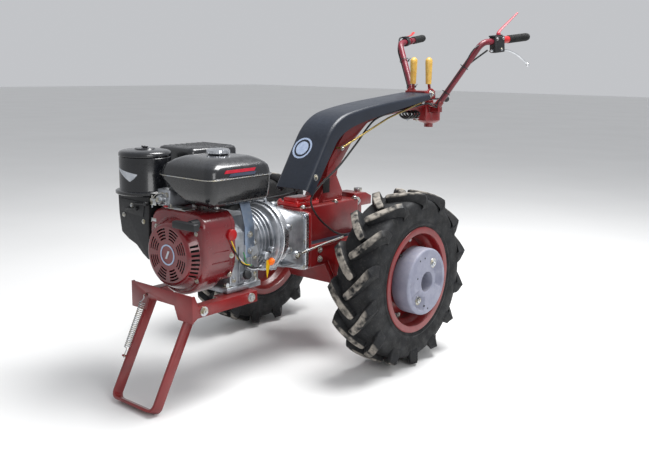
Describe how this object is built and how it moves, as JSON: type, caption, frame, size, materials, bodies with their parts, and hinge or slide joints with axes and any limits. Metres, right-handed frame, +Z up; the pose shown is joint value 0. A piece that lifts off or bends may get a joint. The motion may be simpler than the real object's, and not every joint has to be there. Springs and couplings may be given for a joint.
{
  "type": "two-wheel walking tractor",
  "caption": "Two-wheel walking tractor with front single-cylinder engine, gearbox, lugged wheels, cowled steering column, swivelling handlebars and folding front stand",
  "frame": {"origin": "on the floor below the middle of the machine's bounding box", "axes": "+X is the machine's left, -Y is forward, +Z is up"},
  "size_m": [0.886, 1.8576, 1.2027],
  "materials": {
    "black_enamel": "gloss",
    "black_plastic": "moulded",
    "cable_rubber": "matte",
    "cast_aluminium": "cast",
    "chrome": "polished",
    "grey_paint": "semi-matte",
    "orange_plastic": "moulded",
    "red_paint": "gloss",
    "tan_plastic": "moulded",
    "tyre_rubber": "matte",
    "zinc_steel": "zinc plated"
  },
  "bodies": {
    "chassis": {"air_cleaner": "black_enamel", "air_cleaner_lid": "black_enamel", "axle_sleeve_left": "red_paint", "axle_sleeve_right": "red_paint", "carburettor": "cast_aluminium", "clutch_cable_lower": "cable_rubber", "clutch_housing": "cast_aluminium", "column_head": "red_paint", "control_rod": "zinc_steel", "cowl": "black_plastic", "crankcase": "cast_aluminium", "cylinder": "cast_aluminium", "cylinder_head": "cast_aluminium", "engine_adapter": "cast_aluminium", "fan_shroud": "red_paint", "front_frame": "red_paint", "fuel_cap": "chrome", "fuel_tank": "black_enamel", "gear_lever_left": "tan_plastic", "gear_lever_right": "tan_plastic", "gearbox_case": "red_paint", "hitch_bracket": "red_paint", "hitch_pin": "zinc_steel", "intake_cover": "black_plastic", "lock_lever": "black_plastic", "muffler": "black_enamel", "oil_plug": "orange_plastic", "recoil_starter": "red_paint", "selector_cover": "red_paint", "stand_pivot": "zinc_steel", "stand_spring": "zinc_steel", "starter_handle": "black_plastic", "steering_column": "red_paint", "tank_bracket": "zinc_steel", "throttle_cable_lower": "cable_rubber"},
    "wheel_left": {"axle_left": "zinc_steel", "rim_left": "red_paint", "tyre_left": "tyre_rubber", "wheel_weight_left": "grey_paint"},
    "wheel_right": {"axle_right": "zinc_steel", "rim_right": "red_paint", "tyre_right": "tyre_rubber", "wheel_weight_right": "grey_paint"},
    "stand": {"stand_leg": "red_paint"},
    "handlebar": {"clutch_cable_upper": "cable_rubber", "clutch_lever": "cast_aluminium", "clutch_lever_housing": "black_plastic", "grip_left": "tyre_rubber", "grip_right": "tyre_rubber", "handlebar_hub": "red_paint", "handlebar_tube_left": "red_paint", "handlebar_tube_right": "red_paint", "lock_control": "black_plastic", "throttle_lever": "red_paint"}
  },
  "joints": [
    {"name": "wheel_left_spin", "type": "hinge", "parent": "chassis", "child": "wheel_left", "pos_m": [0.3375, -0.07716, 0.292], "axis": [1, 0, 0], "continuous": true},
    {"name": "wheel_right_spin", "type": "hinge", "parent": "chassis", "child": "wheel_right", "pos_m": [-0.3375, -0.07716, 0.292], "axis": [1, 0, 0], "continuous": true},
    {"name": "stand_fold", "type": "hinge", "parent": "chassis", "child": "stand", "pos_m": [0, -0.76716, 0.285], "axis": [1, 0, 0], "range_deg": [0, 105], "deforming": ["stand_spring"]},
    {"name": "handlebar_swivel", "type": "hinge", "parent": "chassis", "child": "handlebar", "pos_m": [0, 0.59284, 0.8], "axis": [0, 0, 1], "range_deg": [-15, 15]}
  ]
}
